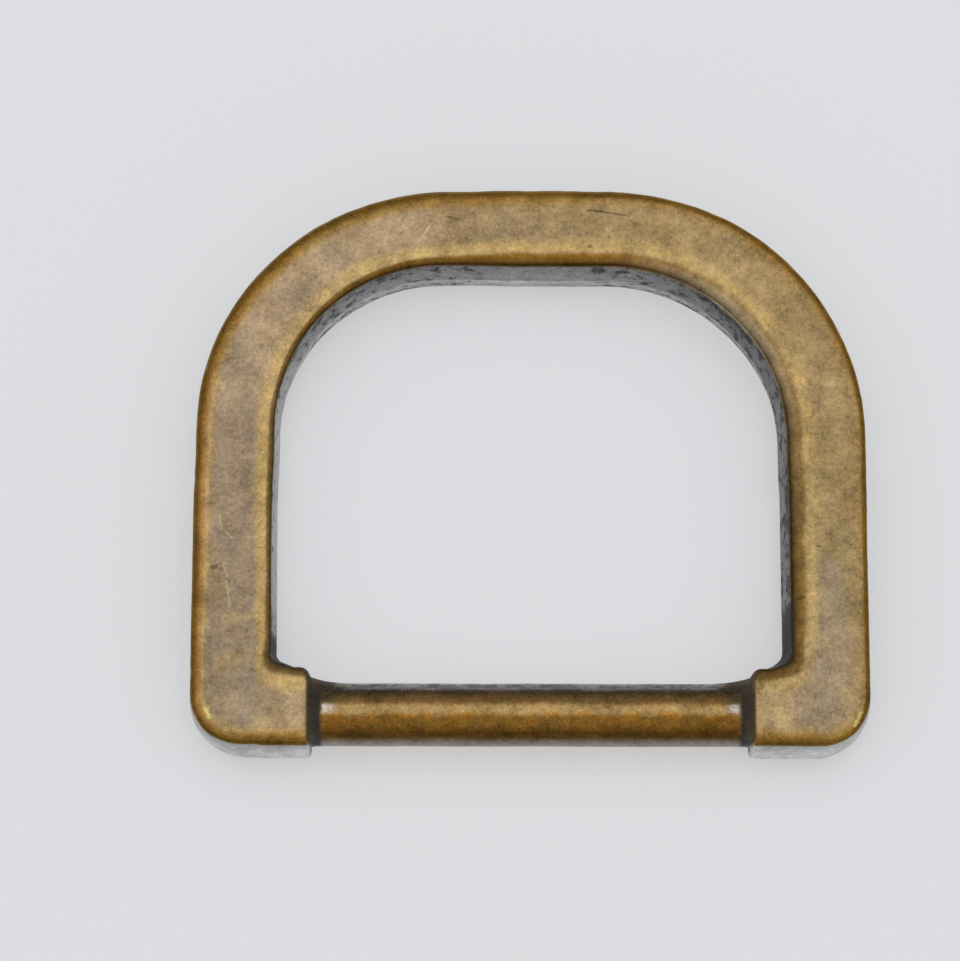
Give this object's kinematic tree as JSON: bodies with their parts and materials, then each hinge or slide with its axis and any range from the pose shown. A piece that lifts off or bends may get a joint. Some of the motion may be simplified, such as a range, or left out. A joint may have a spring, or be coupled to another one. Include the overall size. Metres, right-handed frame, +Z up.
{
  "type": "d ring",
  "caption": "Heavy cast D ring with a rounded arch, drafted walls and stepped shoulders that carry a round strap bar.",
  "frame": {"origin": "middle of the underside's bounding box, on the surface that the ring lies on", "axes": "+X along the strap bar, +Y from the bar towards the arch, +Z up out of the face"},
  "size_m": [0.039, 0.0336, 0.005],
  "materials": {
    "antique_brass": "antique brass plate, satin and warm on the face and the crown of the bar, dark and glossy on the walls and in the corners"
  },
  "bodies": {
    "root": {"d_ring": "antique_brass"}
  },
  "joints": []
}
